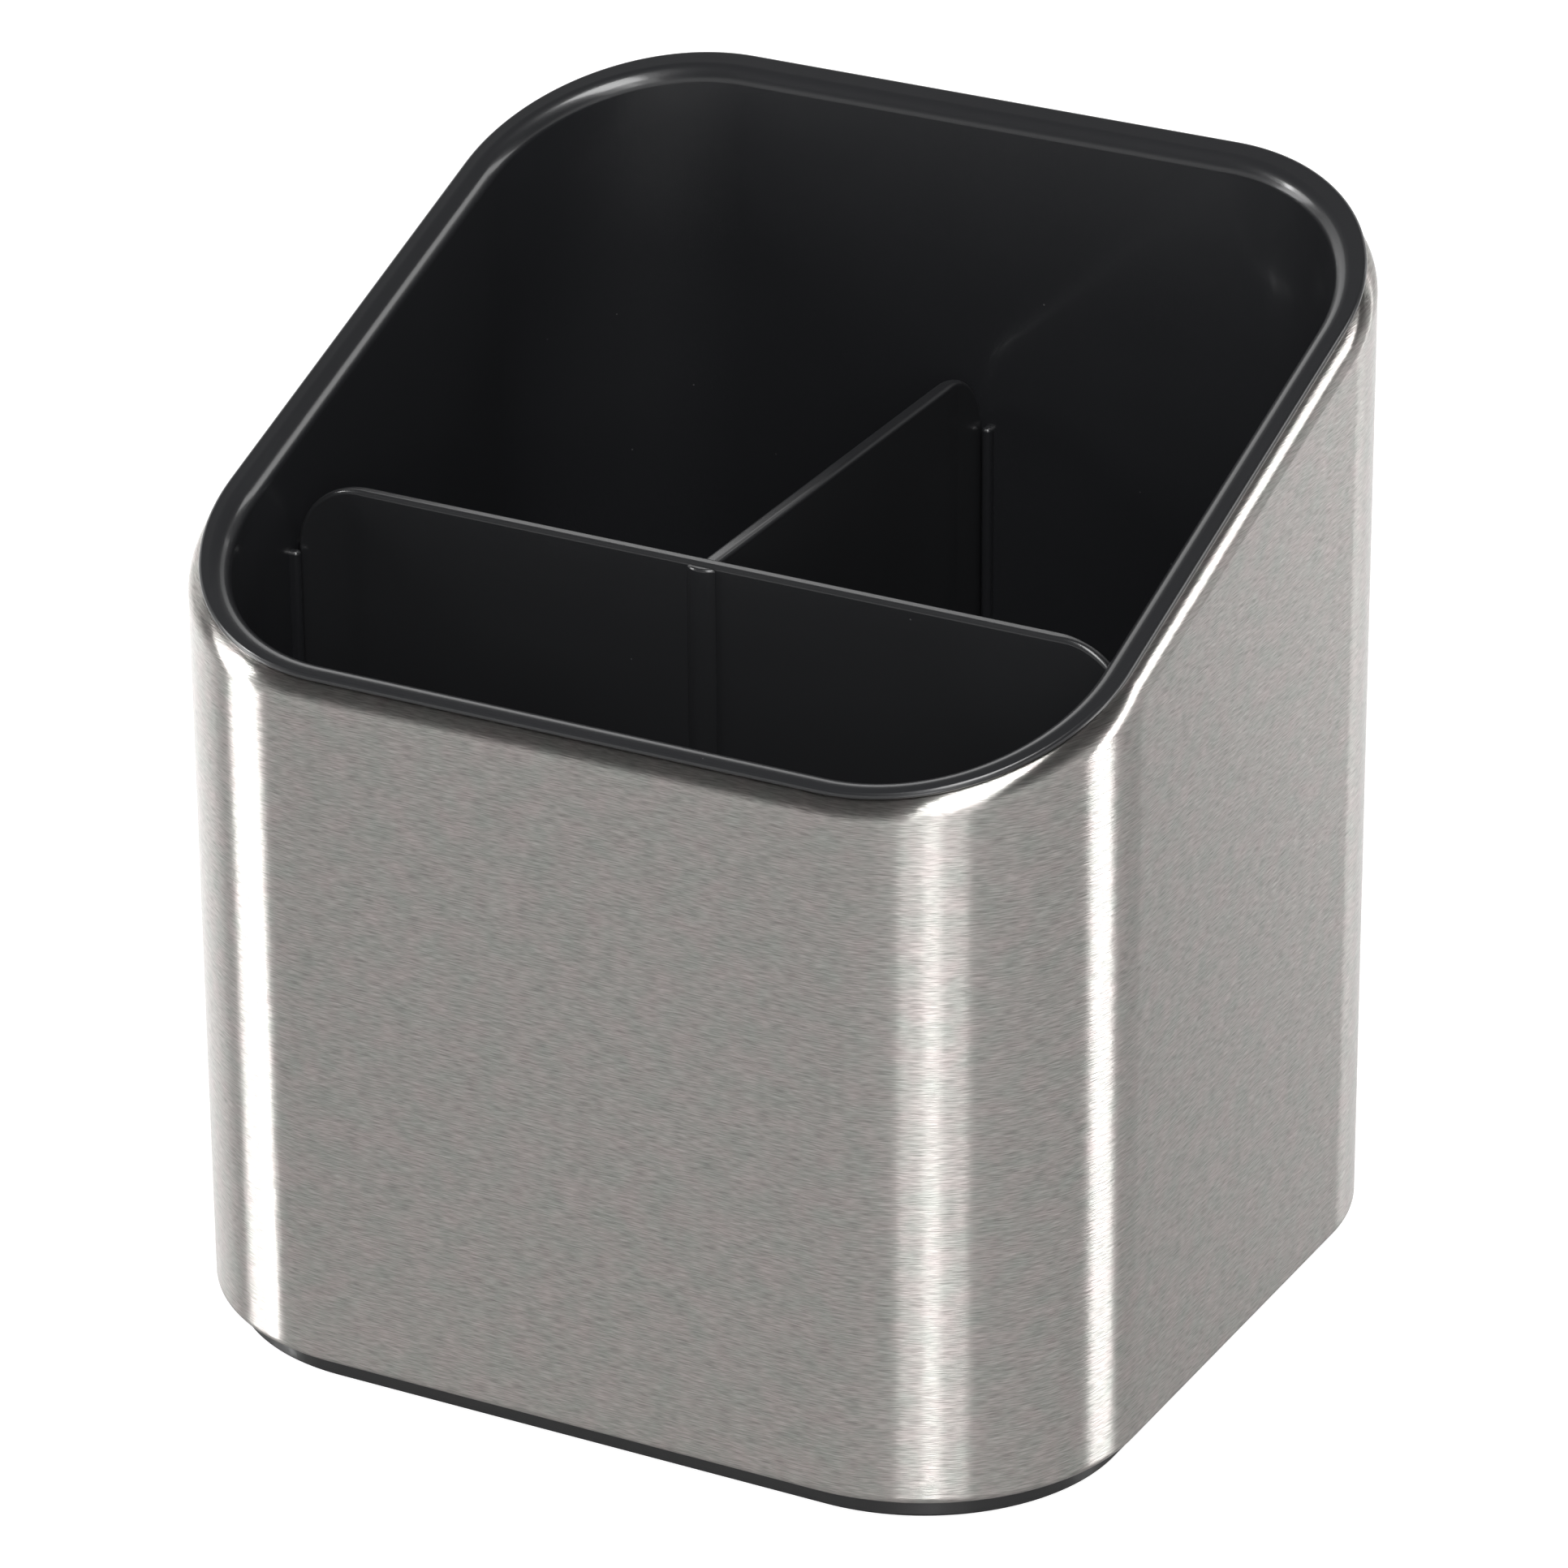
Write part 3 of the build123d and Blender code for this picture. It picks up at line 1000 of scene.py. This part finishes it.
class Nodes:
    """Short way to add and link nodes in one tree."""

    def __init__(self, tree: bpy.types.NodeTree) -> None:
        """Keeps the tree."""
        self.tree = tree

    @classmethod
    def of(cls, owner: bpy.types.Material | bpy.types.World) -> "Nodes":
        """Turns on the nodes of a material or world, and empties them.

        Args:
            owner: The material or world.

        Returns:
            Its nodes.
        """
        owner.use_nodes = True
        owner.node_tree.nodes.clear()
        return cls(owner.node_tree)

    def add(self, kind: str, **settings: object) -> bpy.types.Node:
        """Adds a node and sets its properties.

        Args:
            kind: Blender's name for the node's type.
            **settings: Properties of the node.

        Returns:
            The node.
        """
        node = self.tree.nodes.new(kind)
        for name, value in settings.items():
            setattr(node, name, value)
        return node

    def feed(self, node: bpy.types.Node, **inputs: object) -> bpy.types.Node:
        """Links sockets or sets values on a node's inputs.

        Args:
            node: The node.
            **inputs: Input names, with blanks as underscores; a socket is linked, a value is set.

        Returns:
            The same node.
        """
        for name, value in inputs.items():
            key = int(name[1:]) if name[0] == "i" and name[1:].isdigit() else name.replace("_", " ")
            if isinstance(value, Socket):
                self.tree.links.new(value, node.inputs[key])
            else:
                node.inputs[key].default_value = value
        return node

    def made(self, kind: str, **inputs: object) -> bpy.types.Node:
        """New shader node of a kind, with its inputs fed."""
        return self.feed(self.add("ShaderNode" + kind), **inputs)

    def end(self, shader: bpy.types.Node, kind: str = "Material") -> None:
        """Leads a shader to the tree's output."""
        self.made("Output" + kind, Surface=shader.outputs[0])

    def math(self, operation: str, first: object, second: object = 0.0,
             clamp: bool = False) -> Socket:
        """Result of one math operation on two sockets or values."""
        node = self.add("ShaderNodeMath", operation=operation, use_clamp=clamp)
        return self.feed(node, i0=first, i1=second).outputs[0]

    def line(self, value: Socket, slope: float, start: object, clamp: bool = False) -> Socket:
        """Slope times a value, plus start."""
        return self.math("ADD", self.math("MULTIPLY", value, slope), start, clamp)

    def blend(self, share: Socket, first: object, second: object) -> Socket:
        """Colour that lies between two colours by a share."""
        node = self.add("ShaderNodeMix", data_type="RGBA")
        return self.feed(node, Factor=share, A=first, B=second).outputs["Result"]

    def bump(self, height: Socket, distance: float) -> Socket:
        """Normal that a height of up to a distance gives."""
        return self.made("Bump", Height=height, Distance=distance, Strength=1.0).outputs[0]

    def noise(self, vector: Socket, scale: Socket, detail: float, roughness: float = 0.5) -> Socket:
        """Value of a noise, from 0 to 1, over a vector."""
        return self.made("TexNoise", Vector=vector, Scale=scale, Detail=detail,
                         Roughness=roughness).outputs["Fac"]

    def smooth(self, value: Socket, start: float, end: float, first: object, last: float) -> Socket:
        """Number that goes smoothly from first to last while a value goes from start to end."""
        node = self.add("ShaderNodeMapRange", interpolation_type="SMOOTHSTEP")
        return self.feed(node, Value=value, From_Min=start, From_Max=end, To_Min=first,
                         To_Max=last).outputs[0]

    def scaled(self, vector: object, factor: Socket) -> Socket:
        """Vector or colour times a factor."""
        return self.feed(self.add("ShaderNodeVectorMath", operation="SCALE"), i0=vector,
                         Scale=factor).outputs[0]

    def seen(self, path: bpy.types.Node) -> Socket:
        """Mask of the rays that look straight or through glass, from a Light Path node."""
        return self.math("MAXIMUM", path.outputs["Is Camera Ray"],
                         path.outputs["Is Transmission Ray"])


def new_group(name: str, inputs: dict[str, object],
              outputs: tuple[str, ...]) -> tuple[Nodes, bpy.types.Node, bpy.types.Node]:
    """Starts a shader node group.

    Args:
        name: The group's name.
        inputs: First value of each input by its name, a tuple for a vector.
        outputs: Names of the outputs, all of them numbers.

    Returns:
        The group's nodes, its input node and its output node.
    """
    tree = bpy.data.node_groups.new(name, "ShaderNodeTree")
    for label, value in inputs.items():
        kind = "NodeSocketVector" if isinstance(value, tuple) else "NodeSocketFloat"
        tree.interface.new_socket(label, in_out="INPUT", socket_type=kind).default_value = value
    for label in outputs:
        tree.interface.new_socket(label, in_out="OUTPUT", socket_type="NodeSocketFloat")
    nodes = Nodes(tree)
    return nodes, nodes.add("NodeGroupInput"), nodes.add("NodeGroupOutput")


@dataclass(frozen=True)
class BrushedGrain:
    """Brushed grain: fine streaks drawn out along the map's first direction, and slow clouds.

    Two noises are read on a map that is squeezed along the grain, one fine and one coarse, and
    their weighted sum, centred on zero, is the streak.
    """

    fine_scale: float = 6500.0
    stretch: float = 0.08
    cloud_scale: float = 260.0
    coarse_share: float = 0.35
    fine_weight: float = 1.5
    coarse_weight: float = 0.5
    streak_middle: float = 1.0
    cloud_middle: float = 0.5

    def group(self) -> bpy.types.NodeTree:
        """Builds the node group.

        Returns:
            The group.
        """
        inputs = {"Vector": (0.0, 0.0, 0.0), "Fine Scale": self.fine_scale, "Stretch": self.stretch,
                  "Cloud Scale": self.cloud_scale}
        nodes, given, result = new_group("brushed_grain", inputs, ("Streak", "Cloud"))
        vector, scale = given.outputs["Vector"], given.outputs["Fine Scale"]
        squeeze = nodes.made("CombineXYZ", X=given.outputs["Stretch"], Y=1.0, Z=1.0)
        drawn = nodes.feed(nodes.add("ShaderNodeVectorMath", operation="MULTIPLY"), i0=vector,
                           i1=squeeze.outputs[0]).outputs[0]
        fine = nodes.noise(drawn, scale, detail=1.0, roughness=0.6)
        coarse = nodes.noise(drawn, nodes.math("MULTIPLY", scale, self.coarse_share), detail=1.0)
        streak = nodes.math("ADD", nodes.math("MULTIPLY", fine, self.fine_weight),
                            nodes.math("MULTIPLY", coarse, self.coarse_weight))
        cloud = nodes.noise(vector, given.outputs["Cloud Scale"], detail=2.0)
        nodes.feed(result, Streak=nodes.math("SUBTRACT", streak, self.streak_middle),
                   Cloud=nodes.math("SUBTRACT", cloud, self.cloud_middle))
        return nodes.tree


@dataclass(frozen=True)
class MouldedGrain:
    """Moulded plastic's surface: a fine pebbled height, a slow waviness and rare dull specks."""

    pebble_scale: float = 4200.0
    wave_scale: float = 45.0
    wave_middle: float = 0.5
    speck_scale: float = 160.0
    speck_size: float = 0.018

    def group(self) -> bpy.types.NodeTree:
        """Builds the node group.

        Returns:
            The group.
        """
        inputs = {"Vector": (0.0, 0.0, 0.0), "Pebble Scale": self.pebble_scale,
                  "Wave Scale": self.wave_scale, "Speck Scale": self.speck_scale}
        nodes, given, result = new_group("moulded_grain", inputs, ("Height", "Wave", "Speck"))
        vector = given.outputs["Vector"]
        pebble = nodes.noise(vector, given.outputs["Pebble Scale"], detail=2.0)
        wave = nodes.noise(vector, given.outputs["Wave Scale"], detail=1.5)
        cells = nodes.feed(nodes.add("ShaderNodeTexVoronoi", feature="F1"), Vector=vector,
                           Scale=given.outputs["Speck Scale"], Randomness=1.0)
        nodes.feed(result, Height=pebble, Wave=nodes.math("SUBTRACT", wave, self.wave_middle),
                   Speck=nodes.math("LESS_THAN", cells.outputs["Distance"], self.speck_size))
        return nodes.tree


@dataclass(frozen=True)
class BrushedSteel:
    """Steel brushed round the sleeve: mirror-like along the grain, widely blurred across it.

    Two shaders share one colour and one bump: the polished crests, and the rougher scratches.
    """

    warm: Colour = (0.608, 0.555, 0.536)
    cool: Colour = (0.55, 0.555, 0.521)
    crest_roughness: float = 0.197
    crest_anisotropy: float = 0.985
    scratch_roughness: float = 0.291
    scratch_anisotropy: float = 0.92
    scratch_share: float = 0.30
    grain_turn: float = 0.25
    streak_colour: float = 0.75
    streak_height: float = 0.018 * MM
    cloud_colour: float = 0.06
    cloud_hue: float = 2.5
    middle_hue: float = 0.5

    def material(self, grain: bpy.types.NodeTree) -> bpy.types.Material:
        """Builds the material.

        Args:
            grain: The brushed grain group.

        Returns:
            The material.
        """
        material = bpy.data.materials.new("brushed_steel")
        nodes = Nodes.of(material)
        chart = nodes.add("ShaderNodeUVMap", uv_map=CHART)
        group = nodes.feed(nodes.add("ShaderNodeGroup", node_tree=grain), Vector=chart.outputs[0])
        streak, cloud = group.outputs["Streak"], group.outputs["Cloud"]
        shade = nodes.math("ADD", nodes.line(streak, self.streak_colour, 1.0),
                           nodes.math("MULTIPLY", cloud, self.cloud_colour))
        hue = nodes.line(cloud, self.cloud_hue, self.middle_hue, clamp=True)
        tint = nodes.scaled(nodes.blend(hue, (*self.cool, 1.0), (*self.warm, 1.0)), shade)
        bump = nodes.bump(streak, self.streak_height)
        tangent = nodes.add("ShaderNodeTangent", direction_type="UV_MAP", uv_map=CHART).outputs[0]
        crests, scratches = (
            nodes.made("BsdfPrincipled", Base_Color=tint, Roughness=roughness, Metallic=1.0,
                       Anisotropic=anisotropy, Anisotropic_Rotation=self.grain_turn, Normal=bump,
                       Tangent=tangent).outputs[0]
            for roughness, anisotropy in ((self.crest_roughness, self.crest_anisotropy),
                                          (self.scratch_roughness, self.scratch_anisotropy)))
        nodes.end(nodes.made("MixShader", i0=self.scratch_share, i1=crests, i2=scratches))
        return material


@dataclass(frozen=True)
class Moulded:
    """Black moulded plastic or rubber with a fine pebbled body under a thin glossier skin."""

    name: str
    colour: Colour
    roughness: float
    specular: float = 0.6
    skin: float = 0.8
    skin_roughness: float = 0.13
    pebble: float = 0.012 * MM
    pebble_scale: float = 6000.0
    wave_colour: float = 0.25
    wave_roughness: float = 0.02
    dust: Colour = (0.25, 0.25, 0.25)
    dust_share: float = 0.35

    def material(self, grain: bpy.types.NodeTree) -> bpy.types.Material:
        """Builds the material.

        Args:
            grain: The moulded grain group.

        Returns:
            The material.
        """
        material = bpy.data.materials.new(self.name)
        nodes = Nodes.of(material)
        place = nodes.add("ShaderNodeTexCoord").outputs["Object"]
        group = nodes.feed(nodes.add("ShaderNodeGroup", node_tree=grain), Vector=place,
                           Pebble_Scale=self.pebble_scale)
        wave, speck = group.outputs["Wave"], group.outputs["Speck"]
        body = nodes.scaled(self.colour, nodes.line(wave, self.wave_colour, 1.0))
        dusty = nodes.blend(nodes.math("MULTIPLY", speck, self.dust_share), body, (*self.dust, 1.0))
        rough = nodes.line(wave, self.wave_roughness, self.roughness, clamp=True)
        nodes.end(nodes.made("BsdfPrincipled", Base_Color=dusty, Roughness=rough,
                             Normal=nodes.bump(group.outputs["Height"], self.pebble),
                             Specular_IOR_Level=self.specular, Coat_Weight=self.skin,
                             Coat_Roughness=self.skin_roughness))
        return material


def aim(azimuth: float, elevation: float, roll: float) -> np.ndarray:
    """Axes of a light or camera that looks at the caddy from a direction.

    Args:
        azimuth: Turn to the right of the caddy's front.
        elevation: Angle above the floor.
        roll: Turn about the line of sight.

    Returns:
        Its across, upright and back vectors as columns.
    """
    flat = math.cos(elevation)
    back = np.array([math.sin(azimuth) * flat, -math.cos(azimuth) * flat, math.sin(elevation)])
    right = np.array([math.cos(azimuth), math.sin(azimuth), 0.0])
    up = np.cross(back, right)
    return np.column_stack([math.cos(roll) * right + math.sin(roll) * up,
                            math.cos(roll) * up - math.sin(roll) * right, back])


def put_up(data: bpy.types.Light | bpy.types.Camera, axes: np.ndarray,
           place: Vector) -> bpy.types.Object:
    """Puts a light or camera into the scene.

    Args:
        data: The light or camera.
        axes: Its axes as columns.
        place: Its place.

    Returns:
        Its object.
    """
    whole = np.eye(4)
    whole[:3, :3], whole[:3, 3] = axes, place
    thing = bpy.data.objects.new(data.name, data)
    thing.matrix_world = Matrix(whole.tolist())
    bpy.context.scene.collection.objects.link(thing)
    return thing


@dataclass(frozen=True)
class Softbox:
    """Area light that faces the caddy from a direction, and spans an angle each way from it."""

    name: str
    azimuth: float
    elevation: float
    span: float
    rise: float
    radiance: float
    roll: float = 0.0
    distance: float = 1.3
    aim_height: float = 60.0 * MM

    def build(self) -> None:
        """Makes the light.

        Its sides are twice its distance times the tangent of half the angle, and its power is four
        times its area times its radiance. Its roll tips its top to the right as the caddy sees it.
        """
        data = bpy.data.lights.new(self.name, "AREA")
        data.shape = "RECTANGLE"
        data.size = 2 * self.distance * math.tan(math.radians(self.span) / 2)
        data.size_y = 2 * self.distance * math.tan(math.radians(self.rise) / 2)
        data.energy = 4 * data.size * data.size_y * self.radiance
        axes = aim(*(math.radians(turn) for turn in (self.azimuth, self.elevation, -self.roll)))
        place = axes[:, 2] * self.distance + [0.0, 0.0, self.aim_height]
        put_up(data, axes, place).visible_camera = False


@dataclass
class Studio:
    """Floor, lights, world and camera."""

    softboxes: tuple[Softbox, ...] = (
        Softbox("key_box", 31.0, 58.0, 20.0, 38.0, 6.0),
        Softbox("front_box", 32.0, 25.0, 30.0, 27.0, 1.18),
        Softbox("front_strip", 31.6, 25.0, 7.5, 27.0, 1.75, 0.0, 1.2),
        Softbox("left_box", -68.2, 15.0, 17.0, 42.0, 2.5, -10.0),
        Softbox("left_core", -63.6, 28.0, 4.4, 16.0, 12.0, -10.0, 1.2),
        Softbox("right_box", 118.9, 21.0, 12.8, 48.0, 2.45, 24.0),
    )
    backdrop_stops: tuple[Place, ...] = (
        (153.4, 0.0), (154.0, 0.3), (154.7, 1.95), (156.4, 2.05), (158.2, 0.75), (165.0, 0.59),
        (180.0, 0.64), (190.0, 0.78), (200.0, 0.95), (212.0, 1.18), (223.0, 1.26), (236.0, 1.02),
        (252.0, 0.9), (270.0, 0.5),
    )
    backdrop_radius: float = 1.0
    backdrop_height: float = 0.92
    backdrop_columns: int = 65
    camera_place: tuple[float, float, float] = (0.43242, -0.80621, 0.50070)
    camera_azimuth: float = 0.4927
    camera_elevation: float = 0.4427
    camera_roll: float = -0.0076
    camera_sensor: float = 36.0
    camera_near: float = 0.01
    lens: float = 184.97
    horizon_level: float = 0.60
    zenith_level: float = 0.08
    haze_low: float = -0.25
    haze_top: float = 0.33
    haze_up: tuple[float, float, float] = (-0.04, 0.012, 1.0)
    floor_size: float = 3.0
    floor_gap: float = 0.02 * MM
    floor_colour: float = 0.45
    floor_glow: float = 0.95
    floor_polish: float = 0.95
    polish_roughness: float = 0.12
    polish_starts: float = 0.42
    polish_full: float = 0.62

    def camera(self) -> None:
        """Places the camera at the photograph's angle."""
        data = bpy.data.cameras.new("camera")
        data.lens, data.sensor_width = self.lens, self.camera_sensor
        data.clip_start = self.camera_near
        axes = aim(self.camera_azimuth, self.camera_elevation, self.camera_roll)
        bpy.context.scene.camera = put_up(data, axes, self.camera_place)

    def world(self) -> None:
        """Room round the caddy, pale at the horizon and dim overhead; the camera sees it white.

        Mirrors see it white at the horizon and below, and as dim overhead as it is.
        """
        world = bpy.data.worlds.new("studio")
        nodes = Nodes.of(world)
        path, where = nodes.add("ShaderNodeLightPath"), nodes.add("ShaderNodeTexCoord")
        height = nodes.feed(nodes.add("ShaderNodeVectorMath", operation="DOT_PRODUCT"),
                            i0=where.outputs["Generated"], i1=self.haze_up).outputs["Value"]
        lift = 1.0 - self.horizon_level
        horizon = nodes.line(path.outputs["Is Glossy Ray"], lift, self.horizon_level)
        room = nodes.smooth(height, self.haze_low, self.haze_top, horizon, self.zenith_level)
        strength = nodes.math("MAXIMUM", nodes.seen(path), room)
        nodes.end(nodes.made("Background", Color=WHITE, Strength=strength), "World")
        bpy.context.scene.world = world

    def floor(self) -> None:
        """Pale polished floor: white to the camera but for the shadow, a mirror to the steel."""
        size, low = self.floor_size, -self.floor_gap
        mesh = bpy.data.meshes.new("floor")
        corners = [(-size, -size, low), (size, -size, low), (size, size, low), (-size, size, low)]
        mesh.from_pydata(corners, [], [(0, 1, 2, 3)])
        floor = bpy.data.objects.new("floor", mesh)
        bpy.context.scene.collection.objects.link(floor)
        material = bpy.data.materials.new("pale_floor")
        nodes = Nodes.of(material)
        path = nodes.add("ShaderNodeLightPath")
        glow = nodes.math("MULTIPLY", nodes.seen(path), self.floor_glow)
        diffuse = nodes.made("BsdfDiffuse", Color=(*[self.floor_colour] * 3, 1.0))
        emission = nodes.made("Emission", Color=WHITE, Strength=glow)
        facing = nodes.made("LayerWeight", Blend=0.5).outputs["Facing"]
        flat = nodes.smooth(facing, self.polish_starts, self.polish_full, 0.0, self.floor_polish)
        polish = nodes.math("MULTIPLY", path.outputs["Is Glossy Ray"], flat)
        tint = nodes.made("CombineColor", Red=polish, Green=polish, Blue=polish).outputs[0]
        mirror = nodes.made("BsdfGlossy", Color=tint, Roughness=self.polish_roughness)
        both = nodes.made("AddShader", i0=diffuse.outputs[0], i1=emission.outputs[0])
        nodes.end(nodes.made("AddShader", i0=both.outputs[0], i1=mirror.outputs[0]))
        mesh.materials.append(material)

    def backdrop(self) -> None:
        """Curved screen behind the caddy, which only mirrors see, brighter towards the left.

        Its brightness is read from stops of azimuth and level, joined by straight lines.
        """
        turns, lights = zip(*self.backdrop_stops)
        span, share = turns[-1] - turns[0], np.linspace(0.0, 1.0, self.backdrop_columns)
        angle = np.radians(turns[0] + span * share)
        arc = np.column_stack([np.sin(angle), -np.cos(angle)])
        points = np.stack([level(self.backdrop_radius * arc, height)
                           for height in (0.0, self.backdrop_height)])
        chart = np.stack([level(share, v) for v in (0.0, 1.0)])
        skin = Skin()
        skin.grid(points[:, ::-1], -level(arc, 0.0)[::-1], chart[:, ::-1])
        backdrop = skin.build("backdrop")
        material = bpy.data.materials.new("backdrop_screen")
        nodes = Nodes.of(material)
        place = nodes.add("ShaderNodeUVMap", uv_map=CHART).outputs[0]
        ramp = nodes.made("ValToRGB", Fac=nodes.made("SeparateXYZ", Vector=place).outputs["X"])
        stops, brightest = ramp.color_ramp.elements, max(lights)
        while len(stops) < len(lights):
            stops.new(0.5)
        for stop, turn, light in zip(stops, turns, lights):
            stop.position = (turn - turns[0]) / span
            stop.color = (*[light / brightest] * 3, 1.0)
        nodes.end(nodes.made("Emission", Color=ramp.outputs["Color"], Strength=brightest))
        backdrop.data.materials.append(material)
        backdrop.visible_camera = False

    def build(self) -> None:
        """Sets the whole studio up."""
        bpy.context.scene.view_settings.view_transform = "Standard"
        self.camera()
        self.world()
        self.floor()
        self.backdrop()
        for softbox in self.softboxes:
            softbox.build()


def dress(piece: bpy.types.Object, material: bpy.types.Material, body: str, node: str) -> None:
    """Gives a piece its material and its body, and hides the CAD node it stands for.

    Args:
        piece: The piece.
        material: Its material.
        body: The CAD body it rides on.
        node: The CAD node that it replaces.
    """
    piece.data.materials.append(material)
    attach(piece, body)
    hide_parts(node)
    LOG.info("%s rides on %s for %s", piece.name, body, node)


def main() -> None:
    """Builds and dresses every piece, then the studio round them."""
    logging.basicConfig(level=logging.INFO, format="%(name)s %(message)s")
    form = Form()
    liner, tray = Liner(form), DripTray(form)
    dividers = Dividers(liner)
    steel = BrushedSteel().material(BrushedGrain().group())
    moulded = MouldedGrain().group()
    liner_black, divider_black, tray_black, rubber = (finish.material(moulded) for finish in (
        Moulded("liner_black", (0.018, 0.0186, 0.0208), 0.31),
        Moulded("divider_black", (0.021, 0.0215, 0.0233), 0.31),
        Moulded("tray_black", (0.02, 0.02, 0.021), 0.45, specular=0.5, skin=0.3),
        Moulded("foot_rubber", (0.03, 0.03, 0.03), 0.75, specular=0.3, skin=0.0,
                skin_roughness=0.5, pebble=0.02 * MM, pebble_scale=2200.0)))
    dress(Sleeve(form).build(), steel, "sleeve", "outer_sleeve")
    dress(liner.build(), liner_black, "liner", "liner")
    dress(dividers.cross_wall(), divider_black, "cross_wall", "cross_wall")
    dress(dividers.rear_partition(), divider_black, "rear_partition", "rear_partition")
    dress(tray.build(), tray_black, "sleeve", "base_tray")
    for node in tray.foot_places:
        dress(tray.foot(node), rubber, "sleeve", node)
    Studio().build()


if __name__ == "__main__":
    main()
